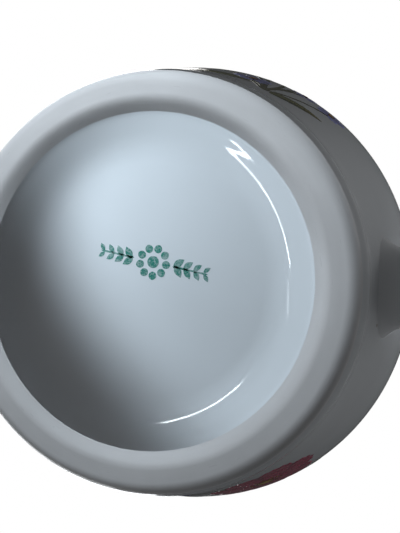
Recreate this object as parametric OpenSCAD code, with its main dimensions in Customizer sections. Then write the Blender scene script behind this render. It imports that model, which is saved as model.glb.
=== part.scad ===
// Belly mug in glazed white porcelain, with a luted ear handle, floral transfers
// and a small green maker's ornament in the foot recess.
// +Z is up, the foot stands on z = 0, the body's axis is Z and the handle points to +X.

/* [Body] */
// Height from the table to the top of the lip
mug_h = 92; // [78:1:112]
// Widest outside diameter of the bare body
belly_d = 86; // [78:0.5:104]
// Height of the widest point
belly_z = 42; // [35:1:50]
// Outside diameter at the lip
lip_d = 80; // [72:0.5:96]
// Wall thickness at the belly
wall_t = 3.4; // [2.4:0.1:4.5]
// Wall thickness at the lip
lip_t = 2.6; // [2:0.1:3.6]
// Thickness of the floor
floor_t = 4.4; // [3:0.1:6]

/* [Foot] */
// Diameter of the crease where the foot meets the belly
foot_d = 62; // [56:0.5:74]
// Height of the foot, up to the crease
foot_h = 4.5; // [3.4:0.1:7]
// Middle diameter of the flat ring that the mug stands on
land_d = 53.7; // [46:0.1:56]
// Width of that flat ring
land_w = 1.6; // [0.8:0.1:2.2]
// Depth of the recess inside the foot
recess_h = 4.4; // [3.6:0.1:6]
// Width of the slope from the flat ring to the recess floor
recess_slope_w = 8.8; // [7.5:0.1:11]
// Radius of the cove at the bottom of that slope
cove_r = 9; // [6:0.5:10]
// Steepest angle of the slope
cove_angle = 44; // [30:1:48]

/* [Handle] */
// How far the handle stands out from the belly
handle_reach = 29.5; // [26:0.5:38]
// Distance from the lip down to the middle of the upper root
handle_drop = 18; // [14:0.5:24]
// Height of the middle of the lower root
handle_low_z = 13.5; // [12.5:0.5:20]
// Width of the strap, across the handle
strap_w = 10; // [8:0.5:14]
// Thickness of the strap
strap_t = 6.4; // [5:0.2:9]
// How much wider the luted ends are than the strap
root_flare = 2.2; // [1:0.1:3]
// Thickness of the luting slip between the strap and the wall
slip_t = 1.2; // [0.8:0.1:2]

/* [Glaze] */
// Thickness of the glaze coat
glaze_t = 0.25; // [0.15:0.05:0.4]
// Height above the table where the outside glaze starts
glaze_start = 1.4; // [0.6:0.1:2]

/* [Transfers] */
// Thickness of one printed layer
print_t = 0.12; // [0.08:0.01:0.2]
// Diameter of the large crimson blooms
bloom_d = 25; // [18:1:30]
// Diameter of the violet flowers
violet_d = 10; // [7:0.5:13]
// Length of a leaf
leaf_l = 14; // [10:0.5:18]
// Width of a leaf
leaf_w = 4.8; // [3:0.2:6]
// Width of a stem
stem_w = 0.7; // [0.5:0.1:1.2]

/* [Maker's ornament] */
// Length of the ornament
mark_l = 16.8; // [10:0.2:20]
// Turn of the ornament about the axis
mark_turn = 11; // [-45:1:45]
// Place of the ornament's middle, across the handle
mark_y = -2.6; // [-4:0.1:4]
// Place of the ornament's middle, along the handle
mark_x = 0.9; // [-4:0.1:4]

/* [Hidden] */

$fn = 96;
steps = 14;             // points on one curve of the outline
end = 0.6;              // length of a curve's control arm, as a share of the distance that it covers
foot_r = foot_d / 2;
belly_r = belly_d / 2;
lip_r = lip_d / 2;
lip_z = mug_h - lip_t / 2;
land_in = (land_d - land_w) / 2;
land_out = (land_d + land_w) / 2;
floor_z = recess_h + floor_t;
cavity_r = belly_r - wall_t;
recess_r = land_in - recess_slope_w;

// ---- Curves ----

function bezier(a, b, c, d, n = steps) =
    [for (i = [0:n]) let (t = i / n, s = 1 - t)
        s * s * s * a + 3 * s * s * t * b + 3 * s * t * t * c + t * t * t * d];
function tail(path) = [for (i = [1:len(path) - 1]) path[i]];
function back(path) = [for (i = [len(path) - 1:-1:0]) path[i]];
function mix(a, b, t) = a + (b - a) * t;
function smooth(t) = let (c = min(1, max(0, t))) c * c * (3 - 2 * c);

// The unit normal on the right-hand side of a path, as one walks along it
function normal(path, i) =
    let (a = path[max(0, i - 1)], b = path[min(len(path) - 1, i + 1)], d = (b - a) / norm(b - a))
    [d[1], -d[0]];
// The path moved to its right by d, feathered to nothing over the first points where lead is set
function coat(path, d, lead = 0) =
    [for (i = [0:len(path) - 1]) path[i] + d * smooth(lead == 0 ? 1 : i / lead) * normal(path, i)];

// ---- The body's outline, as points [radius, height] ----

foot_side = bezier([land_out, 0], [land_out + 1.7, 0], [foot_r - 0.6, foot_h * 0.45],
    [foot_r, foot_h]);
belly_low = bezier([foot_r, foot_h], [mix(foot_r, belly_r, 0.72), mix(foot_h, belly_z, 0.53)],
    [belly_r, mix(belly_z, foot_h, 0.45)], [belly_r, belly_z]);
belly_high = bezier([belly_r, belly_z], [belly_r, mix(belly_z, lip_z, 0.42)],
    [lip_r - 0.6, mix(lip_z, belly_z, 0.34)], [lip_r, lip_z]);
outer_wall = concat(belly_low, tail(belly_high));
lip_mid = lip_r - lip_t / 2;
function lip_arc(from, to) =
    [for (i = [0:6]) let (a = mix(from, to, i / 6)) [lip_mid, lip_z] + lip_t / 2 * [cos(a), sin(a)]];
inner_wall = concat(
    bezier([lip_r - lip_t, lip_z], [lip_r - lip_t - 0.6, mix(lip_z, belly_z, 0.34)],
        [cavity_r, mix(belly_z, lip_z, 0.42)], [cavity_r, belly_z]),
    tail(bezier([cavity_r, belly_z], [cavity_r, mix(floor_z, belly_z, 0.35)],
        [cavity_r * 0.7, floor_z], [cavity_r * 0.5, floor_z])));
cove = [for (i = [0:steps / 2]) let (a = cove_angle * i / (steps / 2))
    [recess_r + cove_r * sin(a), recess_h - cove_r * (1 - cos(a))]];
cove_end = cove[len(cove) - 1];
slope_arm = (land_in - cove_end[0]) * end;
recess = concat([[0, recess_h]], cove,
    tail(bezier(cove_end, cove_end + slope_arm * [cos(cove_angle), -sin(cove_angle)],
        [land_in - slope_arm * 0.7, 0], [land_in, 0])));

glazed_foot = [for (p = foot_side) if (p[1] > glaze_start) p];
glazed_recess = [for (p = recess) if (p[1] > glaze_start) p];
outside = concat(glazed_foot, tail(outer_wall), tail(lip_arc(0, 90)));
inside = concat(lip_arc(90, 180), tail(inner_wall), [[0, floor_z]]);

// ---- The outside wall as a surface, by distance up the wall from the crease ----

wall_run = [for (i = 0, s = 0; i < len(outer_wall);
    s = s + (i + 1 < len(outer_wall) ? norm(outer_wall[i + 1] - outer_wall[i]) : 0), i = i + 1) s];
run_to_r = [for (i = [0:len(outer_wall) - 1]) [wall_run[i], outer_wall[i][0]]];
run_to_z = [for (i = [0:len(outer_wall) - 1]) [wall_run[i], outer_wall[i][1]]];
run_to_lean = [for (i = [0:len(outer_wall) - 1]) [wall_run[i], normal(outer_wall, i)[0]]];
z_to_r = [for (p = outer_wall) [p[1], p[0]]];
function wall_x(y, z) = sqrt(pow(lookup(z, z_to_r), 2) - y * y);

// The point at u mm round and v mm up from a place on the wall, and lift mm off the bare body
function on_wall(az, run, u, v, lift) =
    let (r0 = lookup(run, run_to_r), r = lookup(run + v, run_to_r), z = lookup(run + v, run_to_z),
        a = az + u / r0 * 180 / PI, out = r + lift / lookup(run + v, run_to_lean))
    [out * cos(a), out * sin(a), z];

// ---- Closed skins ----

// Side faces between rings of m points, from ring i to ring i + 1
function side_faces(rings, m, first = 0) =
    [for (i = [0:rings - 2], k = [0:m - 1]) let (a = first + i * m, n = (k + 1) % m)
        each [[a + k, a + n, a + m + n], [a + k, a + m + n, a + m + k]]];
function flip(faces) = [for (f = faces) [f[0], f[2], f[1]]];
function centre(points) = [for (k = [0:2]) let (v = [for (p = points) p[k]])
    v * [for (p = points) 1 / len(points)]];

// A solid through a list of rings, closed at both ends with a point on each end's middle
module loft(rings) {
    m = len(rings[0]);
    n = len(rings);
    points = concat([for (r = rings) each r], [centre(rings[0]), centre(rings[n - 1])]);
    caps = [for (k = [0:m - 1]) let (j = (k + 1) % m, z = (n - 1) * m)
        each [[n * m, j, k], [n * m + 1, z + k, z + j]]];
    polyhedron(points, concat(side_faces(n, m), caps));
}

// A sleeve between two lists of rings, open at both ends
module sleeve(outer, inner) {
    m = len(outer[0]);
    n = len(outer);
    points = concat([for (r = outer) each r], [for (r = inner) each r]);
    first = n * m;
    lower = [for (k = [0:m - 1]) let (j = (k + 1) % m)
        each [[k, first + k, first + j], [k, first + j, j]]];
    far = (n - 1) * m;
    upper = flip([for (f = lower) [f[0] + far, f[1] + far, f[2] + far]]);
    polyhedron(points, concat(side_faces(n, m), flip(side_faces(n, m, first)), lower, upper));
}

// ---- The handle: rings along an ear-shaped curve ----

root_top = [lookup(mug_h - handle_drop, z_to_r), mug_h - handle_drop];
root_low = [lookup(handle_low_z, z_to_r), handle_low_z];
bow = [belly_r + handle_reach - strap_t / 2, mix(root_low[1], root_top[1], 0.62)];
ear = concat(
    bezier(root_top, root_top + [handle_reach * 0.45, 4.5], [bow[0], root_top[1] + 3], bow, 16),
    tail(bezier(bow, [bow[0], mix(bow[1], root_low[1], 0.55)],
        root_low + [handle_reach * 0.72, 6.5], root_low, 16)));
ear_run = [for (i = 0, s = 0; i < len(ear);
    s = s + (i + 1 < len(ear) ? norm(ear[i + 1] - ear[i]) : 0), i = i + 1) s];
ear_l = ear_run[len(ear) - 1];
x_of_run = [for (i = [0:len(ear) - 1]) [ear_run[i], ear[i][0]]];
z_of_run = [for (i = [0:len(ear) - 1]) [ear_run[i], ear[i][1]]];
root_l = 9;             // length over which a ring turns from the wall's shape to the strap's
flare_l = 1.6;          // length over which the flare falls to a third
sides = 18;             // points on one ring
near = [0, slip_t * 0.5, slip_t, 2.2, 3.6, 5.6, 7.6];
stations = concat(near, [for (i = [1:16]) mix(7.6, ear_l - 7.6, i / 17)],
    [for (s = back(near)) ear_l - s]);

function ring(s, grow) =
    let (e = 0.3, c = [lookup(s, x_of_run), lookup(s, z_of_run)],
        d = [lookup(s + e, x_of_run), lookup(s + e, z_of_run)]
            - [lookup(s - e, x_of_run), lookup(s - e, z_of_run)],
        t = d / norm(d), from_wall = min(s, ear_l - s), flare = root_flare * exp(-from_wall / flare_l),
        w = 1 - smooth(from_wall / root_l), a = strap_w / 2 + flare + grow,
        b = strap_t / 2 + flare + grow)
    [for (k = [0:sides - 1]) let (q = 360 * k / sides, y = a * cos(q), h = b * sin(q),
        p = [c[0] - t[1] * h, y, c[1] + t[0] * h])
        [mix(p[0], wall_x(y, p[2]) + from_wall * abs(t[0]), w), p[1], p[2]]];
function rings(from, to, grow = 0) = [for (i = [from:to]) ring(stations[i], grow)];
ends = 2;               // the slip takes the first rings, up to slip_t off the wall
last = len(stations) - 1;

// ---- Transfers: flat motifs laid on the wall ----

// A flower's outline of unit radius: n petals with notches of the given depth, and a frilled edge
function petals(n, deep, frill = 0, each_petal = 5) =
    [for (k = [0:n * each_petal - 1]) let (a = 360 * k / (n * each_petal))
        (1 - deep * pow(cos(a * n / 2), 4) - frill * (1 + cos(a * n * 3)) / 2) * [cos(a), sin(a)]];
// A closed motif from an outline of unit radius, size mm across, with rings at the shares given,
// on top of the number of printed layers that lie under it
module motif(place, outline, size, under = 0, shares = [1]) {
    m = len(outline);
    n = len(shares);
    lift = glaze_t + print_t * under;
    function layer(h) = concat([on_wall(place[0], place[1], 0, 0, h)],
        [for (s = shares, p = outline)
            on_wall(place[0], place[1], p[0] * s * size / 2, p[1] * s * size / 2, h)]);
    top = concat([for (k = [0:m - 1]) [0, 1 + k, 1 + (k + 1) % m]], side_faces(n, m, 1));
    skip = 1 + n * m;
    rim = 1 + (n - 1) * m;
    edge = [for (k = [0:m - 1]) let (j = (k + 1) % m)
        each [[rim + k, skip + rim + k, skip + rim + j], [rim + k, skip + rim + j, rim + j]]];
    polyhedron(concat(layer(lift + print_t), layer(lift)), concat(flip(top),
        [for (f = top) [f[0] + skip, f[1] + skip, f[2] + skip]], flip(edge)));
}
// A ribbon from one point of a bouquet to another, bowed sideways, as wide as its width function
module ribbon(place, from, to, bow, w, leaf = false) {
    n = leaf ? 6 : 7;
    across = [from[1] - to[1], to[0] - from[0]];
    function mid(t) = mix(from, to, t) + across * bow * 4 * t * (1 - t);
    function half(t) = w / 2 * (leaf ? max(0.08, pow(sin(180 * pow(t, 0.85)), 0.8)) : 1);
    function cross(t, h) = let (d = mid(t + 0.02) - mid(t - 0.02), s = [-d[1], d[0]] / norm(d),
        p = mid(t) + half(t) * s, q = mid(t) - half(t) * s)
        [on_wall(place[0], place[1], p[0], p[1], h + print_t), on_wall(place[0], place[1], q[0],
            q[1], h + print_t), on_wall(place[0], place[1], q[0], q[1], h), on_wall(place[0],
            place[1], p[0], p[1], h)];
    loft([for (i = [0:n]) cross(i / n, glaze_t)]);
}

// Each bunch is the foot of its stems, its blooms, its violets and its leaves.
// Places are [azimuth in degrees, distance up the wall from the crease in mm], blooms and violets
// add their size as a share of the usual one, and leaves add their direction and their size.
bunches = [
    [[-62, 5],
        [[-74, 47, 1], [-96, 31, 0.72]],
        [[-69, 14, 0.65], [-57, 22, 0.5], [-48, 20, 0.6], [-48, 42, 1], [-99, 55, 0.9],
            [-61, 69, 0.8]],
        [[-60, 5, 35, 0.7], [-67, 9, 160, 0.8], [-53, 29, 20, 1], [-66, 28, 80, 1],
            [-84, 20, 150, 1], [-84, 63, 130, 1], [-57, 53, 40, 1], [-105, 41, 170, 0.8]]],
    [[70, 6],
        [[74, 50, 1], [62, 14, 0.75], [95, 30, 0.72]],
        [[86, 9, 0.65], [48, 33, 0.8], [50, 53, 1], [98, 57, 0.9], [69, 71, 0.8]],
        [[84, 18, 60, 0.9], [66, 27, 95, 0.9], [51, 22, 60, 0.7], [57, 41, 150, 0.9],
            [86, 63, 50, 1], [62, 62, 130, 1], [103, 41, 20, 0.8]]],
    [[180, 5],
        [[179, 47, 1], [202, 29, 0.72], [160, 27, 0.62]],
        [[172, 12, 0.6], [190, 16, 0.65], [156, 54, 0.9], [204, 53, 1], [188, 70, 0.8]],
        [[181, 22, 85, 1], [168, 16, 130, 0.8], [192, 22, 40, 0.8], [168, 62, 130, 1],
            [196, 61, 50, 1], [212, 38, 20, 0.8], [150, 37, 150, 0.8], [193, 38, 330, 0.7]]]];
loose_violets = [[-126, 37, 0.8], [-131, 14, 0.6], [127, 39, 0.8], [129, 15, 0.6],
    [-128, 62, 0.65], [126, 63, 0.65], [33, 66, 0.65], [-33, 64, 0.65]];
violets = concat([for (b = bunches, f = b[2]) f], loose_violets);
blooms = [for (b = bunches, f = b[1]) f];
// A place in a bunch, in mm round and up from the foot of its stems
function from_foot(b, f) = [(f[0] - b[0][0]) * PI / 180 * lookup(b[0][1], run_to_r),
    f[1] - b[0][1]];

// ---- Pieces ----

module mug_body() color("ivory") rotate_extrude()
    polygon(concat(foot_side, tail(outer_wall), tail(lip_arc(0, 180)), tail(inner_wall),
        [[0, floor_z]], recess));

module handle() color("ivory") loft(rings(ends, last - ends));
module upper_handle_joint() color("linen") loft(rings(0, ends));
module lower_handle_joint() color("linen") loft(rings(last - ends, last));

// The opening in the outside glaze under one end of the handle, in the outline of that end's ring
module root_opening(outline) rotate([90, 0, 90]) linear_extrude(belly_d)
    polygon([for (p = outline) [p[1], p[2]]]);

module outside_glaze() color("white") difference() {
    rotate_extrude() polygon(concat(outside, back(coat(outside, glaze_t, 3))));
    for (s = [0, ear_l]) root_opening(ring(s, glaze_t));
}
module inside_glaze() color("white") rotate_extrude()
    polygon(concat(inside, [[0, floor_z + glaze_t]], tail(back(coat(inside, glaze_t)))));
module foot_recess_glaze() color("aliceblue") rotate_extrude()
    polygon(concat(glazed_recess, back(tail(coat(glazed_recess, glaze_t))),
        [[0, recess_h - glaze_t]]));
module handle_glaze() color("white") sleeve(rings(0, last, glaze_t), rings(0, last));

module crimson_blooms() color("crimson") for (f = blooms)
    motif(f, petals(7, 0.2, 0.06, 7), bloom_d * f[2], 1, [0.5, 1]);
module violet_flowers() color("slateblue") for (f = violets)
    motif(f, petals(5, 0.45), violet_d * f[2], 1);
module flower_centres() color("goldenrod") {
    for (f = blooms) motif(f, petals(4, 0), bloom_d * 0.22 * f[2], 2);
    for (f = violets) motif(f, petals(3, 0, 0, 3), violet_d * 0.24 * f[2], 2);
}
module leaves() color("olivedrab") for (b = bunches, f = b[3])
    ribbon(f, [0, 0], leaf_l * f[3] * [cos(f[2]), sin(f[2])], 0.12, leaf_w * f[3], true);
// Stems stop short of the foot of their bunch, so that they don't run together there
module stems() color("olive") for (b = bunches, f = concat(b[1], b[2])) let (to = from_foot(b, f))
    if (norm(to) > 2 * violet_d) ribbon(b[0], 0.35 * to, 0.95 * to, 0.03, stem_w);

// Nine-petalled rosette between two leafy sprigs
module base_ornament() color("seagreen")
    translate([mark_x, mark_y, recess_h - glaze_t - print_t]) rotate(mark_turn)
        linear_extrude(print_t) ornament();
module ornament() {
    petal_r = mark_l * 0.036;
    for (a = [0:40:320]) rotate(a) translate([mark_l * 0.115, 0]) circle(petal_r);
    circle(mark_l * 0.055);
    for (side = [-1, 1], i = [0:3], up = [-1, 1])
        translate([side * mark_l * (0.2 + 0.085 * i), 0]) rotate(90 - side * 90 + side * up * 48)
            translate([mark_l * 0.045, 0]) leaflet(mark_l * (0.062 - 0.008 * i));
}
// A leaflet of half length l, where two circles cross
module leaflet(l) intersection() {
    translate([0, l * 0.75]) circle(l * 1.25);
    translate([0, -l * 0.75]) circle(l * 1.25);
}

mug_body();
handle();
upper_handle_joint();
lower_handle_joint();
outside_glaze();
inside_glaze();
foot_recess_glaze();
handle_glaze();
crimson_blooms();
violet_flowers();
flower_centres();
leaves();
stems();
base_ornament();
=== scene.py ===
import math

import bpy
import numpy as np
from bpy.props import FloatProperty, FloatVectorProperty, PointerProperty
from mathutils import Matrix, Vector


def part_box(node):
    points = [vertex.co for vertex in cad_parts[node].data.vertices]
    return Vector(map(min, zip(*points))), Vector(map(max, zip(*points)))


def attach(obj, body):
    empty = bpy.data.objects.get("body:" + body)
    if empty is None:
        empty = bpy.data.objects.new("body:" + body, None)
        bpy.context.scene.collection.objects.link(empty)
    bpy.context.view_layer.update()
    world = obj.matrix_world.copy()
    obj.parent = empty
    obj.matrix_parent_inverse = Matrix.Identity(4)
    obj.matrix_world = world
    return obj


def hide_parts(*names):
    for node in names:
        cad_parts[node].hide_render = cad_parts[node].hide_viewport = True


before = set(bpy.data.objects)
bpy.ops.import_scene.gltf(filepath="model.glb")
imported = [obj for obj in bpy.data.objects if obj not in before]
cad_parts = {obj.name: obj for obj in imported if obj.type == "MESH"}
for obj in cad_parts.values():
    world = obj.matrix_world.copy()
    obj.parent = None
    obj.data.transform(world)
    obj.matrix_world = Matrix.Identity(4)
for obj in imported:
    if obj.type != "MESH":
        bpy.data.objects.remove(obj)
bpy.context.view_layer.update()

bl_info = {
    "name": "Belly mug with flower transfers",
    "version": (1, 0, 0),
    "blender": (4, 5, 0),
    "location": "View3D > Sidebar > Mug",
    "description": "Builds a glazed porcelain mug, piece by piece, round its packed solids",
    "category": "Add Mesh",
}

mm = 0.001
ROOT = "root"
body_low, body_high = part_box("mug_body")
glaze_low, glaze_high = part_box("outside_glaze")
strap_low, strap_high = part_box("handle")


# ---- Sizes, colours and lights that a user may change ----


def length(name, description, default):
    """A size in metres, shown in the scene's own unit."""
    return FloatProperty(name=name, description=description, default=default, min=0.0, precision=5,
                         unit="LENGTH", subtype="DISTANCE")


def angle(name, description, degrees):
    """An angle, kept in radians."""
    return FloatProperty(name=name, description=description, default=math.radians(degrees),
                         subtype="ANGLE")


def shift(name, description, default):
    """A distance in metres that may be less than 0."""
    return FloatProperty(name=name, description=description, default=default, precision=5,
                         unit="LENGTH")


def share(name, description, default):
    """A number from 0 up."""
    return FloatProperty(name=name, description=description, default=default, min=0.0)


def point(name, description, default):
    """A place in metres."""
    return FloatVectorProperty(name=name, description=description, default=default, size=3,
                               precision=5, unit="LENGTH", subtype="TRANSLATION")


def colour(name, description, default):
    """A linear colour."""
    return FloatVectorProperty(name=name, description=description, default=default, size=3,
                               min=0.0, max=1.0, subtype="COLOR")


class MugBodySizes(bpy.types.PropertyGroup):
    """Sizes of the turned body."""

    height: length("Height", "From the table to the top of the lip", body_high.z)
    belly: length("Belly", "Widest outside diameter of the bare body", 2 * body_high.y)
    belly_up: length("Belly height", "Height of the widest point", 42 * mm)
    mouth: length("Mouth", "Outside diameter at the lip", 80 * mm)
    wall: length("Wall", "Wall thickness at the belly", 3.4 * mm)
    lip: length("Lip", "Wall thickness at the lip", 2.6 * mm)
    floor: length("Floor", "Thickness of the floor", 4.4 * mm)
    foot: length("Foot", "Diameter of the crease where the foot meets the belly", 62 * mm)
    foot_up: length("Foot height", "Height of the foot, up to the crease", 4.5 * mm)
    land: length("Land", "Middle diameter of the flat ring that the mug stands on", 53.7 * mm)
    land_wide: length("Land width", "Width of that flat ring", 1.6 * mm)
    recess: length("Recess", "Depth of the recess inside the foot", 4.4 * mm)
    slope: length("Recess slope", "Width of the slope down to the recess", 8.8 * mm)
    cove: length("Cove", "Radius of the cove at the bottom of the slope", 9 * mm)
    cove_turn: angle("Cove angle", "Steepest angle of the slope", 44)
    glaze: length("Glaze", "Thickness of the glaze coat", glaze_high.y - body_high.y)
    bare: length("Bare band", "Height above the table where the glaze starts", 1.4 * mm)


class MugHandleSizes(bpy.types.PropertyGroup):
    """Sizes of the ear handle."""

    reach: length("Reach", "How far the bare strap stands out from the belly",
                  strap_high.x - body_high.y)
    drop: length("Drop", "From the lip down to the middle of the upper root", 18 * mm)
    low: length("Lower root", "Height of the middle of the lower root", 13.5 * mm)
    wide: length("Strap width", "Width of the strap, across the handle", 10 * mm)
    thick: length("Strap thickness", "Thickness of the strap", 6.4 * mm)
    flare: length("Root flare", "How much the glazed strap spreads at the wall", 2.4 * mm)
    flare_long: length("Flare length", "Way in which the flare falls to a third", 1.7 * mm)


class MugTransferSizes(bpy.types.PropertyGroup):
    """Sizes of the prints."""

    ink: length("Ink", "How far one printed layer stands up", 0.03 * mm)
    bloom: length("Bloom", "Diameter of a large bloom", 25 * mm)
    violet: length("Violet", "Diameter of a violet", 10 * mm)
    leaf: length("Leaf", "Length of a leaf", 14 * mm)
    leaf_wide: length("Leaf width", "Width of a leaf", 4.8 * mm)
    stem: length("Stem", "Width of a stem", 0.6 * mm)
    ornament: length("Ornament", "Length of the ornament under the foot", 16.8 * mm)
    turn: angle("Ornament turn", "Turn of that ornament about the mug's axis", 11)
    across: shift("Ornament across", "Its middle's place across the handle", -2.6 * mm)
    along: shift("Ornament along", "Its middle's place along the handle", 0.9 * mm)


class MugColours(bpy.types.PropertyGroup):
    """Colours of the wares and prints."""

    glaze: colour("Glaze", "White glaze", (0.76, 0.79, 0.82))
    bare: colour("Bare porcelain", "Unglazed, polished porcelain", (0.70, 0.70, 0.71))
    slip: colour("Slip", "Luting slip at the handle's roots", (0.62, 0.60, 0.57))
    crimson: colour("Crimson", "Petals of the large blooms", (0.42, 0.012, 0.075))
    crimson_deep: colour("Deep crimson", "Heart and folds of the large blooms", (0.11, 0.003, 0.03))
    rose: colour("Rose", "Tips of the inner petals", (0.66, 0.11, 0.20))
    violet: colour("Violet", "Edge of a violet's petals", (0.30, 0.31, 0.62))
    violet_deep: colour("Deep violet", "Heart and veins of a violet", (0.085, 0.075, 0.27))
    ochre: colour("Ochre", "Hearts of the flowers", (0.58, 0.34, 0.05))
    leaf: colour("Leaf", "Dark side of a leaf", (0.075, 0.085, 0.022))
    leaf_light: colour("Light leaf", "Light side and veins of a leaf", (0.25, 0.24, 0.06))
    stem: colour("Stem", "Stems", (0.13, 0.12, 0.04))
    ink: colour("Base ink", "Ornament under the foot", (0.035, 0.235, 0.185))


class MugStage(bpy.types.PropertyGroup):
    """Floor, backdrop, lights and camera."""

    floor_wide: length("Floor", "Side of the floor", 3.0)
    floor: colour("Floor colour", "Pale floor", (0.80, 0.80, 0.79))
    window: share("Window", "Brightness of the low window that shines in the recess", 20.0)
    lamp: share("Lamp", "Brightness of the second, lower window that shines there", 21.0)
    glint: share("Glint", "Brightness of the small light between the two", 7.0)
    pool: share("Pool", "Power in watts of the soft pool of light in the recess", 0.21)
    rim: share("Rim", "Brightness of the near light that falls on the foot ring", 7.2)
    side: share("Side", "Brightness of the near light that falls on the side of the wall", 4.2)
    key: share("Key", "Brightness of the large light at the upper left", 3.0)
    fill: share("Fill", "Brightness of the large light at the back", 2.6)
    front: share("Front", "Brightness of the high light over the handle, without gloss", 5.5)
    top: share("Top", "Brightness of the light overhead", 1.0)
    sky: share("Sky", "Brightness of the room above the table", 0.6)
    gloss: share("Gloss", "Share of the room's brightness that shows in reflections", 0.06)
    ground: share("Ground", "Brightness of the room below the table", 0.16)
    lens: share("Lens", "Focal length of the camera in millimetres", 30.888)
    roll: angle("Roll", "Turn of the camera about its line of sight", 2.005)
    stand: point("Camera", "Place of the camera", (0.02158, -0.000816, -0.060))
    aim: point("Aim", "Point that the camera looks at", (0.008832, -0.002064, 0.0))


# ---- Curves and the body's outline ----


def bezier(a, b, c, d, n):
    """Cubic curve from a to d: the four points weighted (1-t)^3, 3(1-t)^2 t, 3(1-t) t^2 and t^3."""
    t = np.linspace(0, 1, n + 1)[:, None]
    s = 1 - t
    a, b, c, d = (np.array(p, float) for p in (a, b, c, d))
    return s**3 * a + 3 * s * s * t * b + 3 * s * t * t * c + t**3 * d


def mix(a, b, t):
    """The value a share t of the way from a to b."""
    return a + (b - a) * t


def smooth(t):
    """0 below 0, 1 above 1, and 3t^2 - 2t^3 in between."""
    t = np.clip(t, 0, 1)
    return t * t * (3 - 2 * t)


def normals(path):
    """Unit normals on the right-hand side of a path: its direction (x, y) turned to (y, -x)."""
    d = np.gradient(path, axis=0)
    d = d / np.linalg.norm(d, axis=1)[:, None]
    return np.stack([d[:, 1], -d[:, 0]], 1)


def way_along(path):
    """Distance along a path at each of its points."""
    return np.r_[0, np.cumsum(np.linalg.norm(np.diff(path, axis=0), axis=1))]


def outlines(s):
    """The body's runs of points [radius, height]: foot side, outer wall, lip, inner wall, recess.

    Each wall is two cubics that meet upright at the belly, the lip is a half circle, and the
    recess is a flat, a cove arc and a cubic that ends level on the land.
    """
    foot_r, belly_r, lip_r = s.foot / 2, s.belly / 2, s.mouth / 2
    lip_z = s.height - s.lip / 2
    land_in, land_out = (s.land - s.land_wide) / 2, (s.land + s.land_wide) / 2
    floor_z, cavity_r = s.recess + s.floor, belly_r - s.wall
    foot = bezier((land_out, 0), (land_out + 1.7 * mm, 0), (foot_r - 0.6 * mm, s.foot_up * 0.45),
                  (foot_r, s.foot_up), 24)
    low = bezier((foot_r, s.foot_up),
                 (mix(foot_r, belly_r, 0.72), mix(s.foot_up, s.belly_up, 0.53)),
                 (belly_r, mix(s.belly_up, s.foot_up, 0.45)), (belly_r, s.belly_up), 48)
    high = bezier((belly_r, s.belly_up), (belly_r, mix(s.belly_up, lip_z, 0.42)),
                  (lip_r - 0.6 * mm, mix(lip_z, s.belly_up, 0.34)), (lip_r, lip_z), 44)
    turn = np.linspace(0, math.pi, 19)[:, None]
    lip = [lip_r - s.lip / 2, lip_z] + s.lip / 2 * np.hstack([np.cos(turn), np.sin(turn)])
    inner = np.vstack([
        bezier((lip_r - s.lip, lip_z), (lip_r - s.lip - 0.6 * mm, mix(lip_z, s.belly_up, 0.34)),
               (cavity_r, mix(s.belly_up, lip_z, 0.42)), (cavity_r, s.belly_up), 32),
        bezier((cavity_r, s.belly_up), (cavity_r, mix(floor_z, s.belly_up, 0.35)),
               (cavity_r * 0.7, floor_z), (cavity_r * 0.5, floor_z), 40)[1:],
        [(cavity_r * q, floor_z) for q in (0.4, 0.25, 0.1, 0)]])
    bottom_r = land_in - s.slope
    turn = np.linspace(0, s.cove_turn, 17)[:, None]
    cove = [bottom_r, s.recess] + s.cove * np.hstack([np.sin(turn), np.cos(turn) - 1])
    arm = (land_in - cove[-1, 0]) * 0.6
    slope = bezier(cove[-1], cove[-1] + arm * np.array([math.cos(s.cove_turn),
                                                        -math.sin(s.cove_turn)]),
                   (land_in - arm * 0.7, 0), (land_in, 0), 28)
    recess = np.vstack([[(bottom_r * q, s.recess) for q in (0, 0.2, 0.4, 0.6, 0.8)], cove,
                        slope[1:]])
    return foot, np.vstack([low, high[1:]]), lip, inner, recess


def coat(path, thick, start=0, end=0):
    """The path moved to its right by the glaze's thickness.

    The thickness falls smoothly to nothing over the given lengths at the two ends.
    """
    run = way_along(path)
    rim = np.ones(len(path))
    if start:
        rim = rim * smooth(run / start)
    if end:
        rim = rim * smooth((run[-1] - run) / end)
    return path + normals(path) * thick * rim[:, None]


class Wall:
    """The glazed outside of the body, by distance up the wall from the foot's crease."""

    def __init__(self, s):
        self.bare = outlines(s)[1]
        self.run = way_along(self.bare)
        self.skin = coat(self.bare, s.glaze)
        self.normal = normals(self.bare)

    def radius(self, z):
        """Radius of the glazed wall at a height."""
        return np.interp(z, self.skin[:, 1], self.skin[:, 0])

    def spot(self, azimuth, up):
        """A place for prints, at degrees round and mm up: a function of u round, v up and lift.

        The radius and height are read off the outline at up + v, the angle is the azimuth plus
        u over the radius at the place, and lift is added along the outline's normal.
        """
        run = up * mm
        r0 = np.interp(run, self.run, self.bare[:, 0])

        def place(u, v, lift):
            at = run + v
            r, z = (np.interp(at, self.run, self.skin[:, k]) for k in (0, 1))
            nr, nz = (np.interp(at, self.run, self.normal[:, k]) for k in (0, 1))
            a = math.radians(azimuth) + u / r0
            r = r + nr * lift
            return np.stack([r * np.cos(a), r * np.sin(a), z + nz * lift], -1)
        return place

    def offset(self, foot, to):
        """How far a place is from its bunch's foot: round, at the lip's radius, and up."""
        return np.array([math.radians(to[0] - foot[0]) * self.bare[-1, 0],
                         (to[1] - foot[1]) * mm])


# ---- Skins: closed surfaces on grids ----


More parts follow.
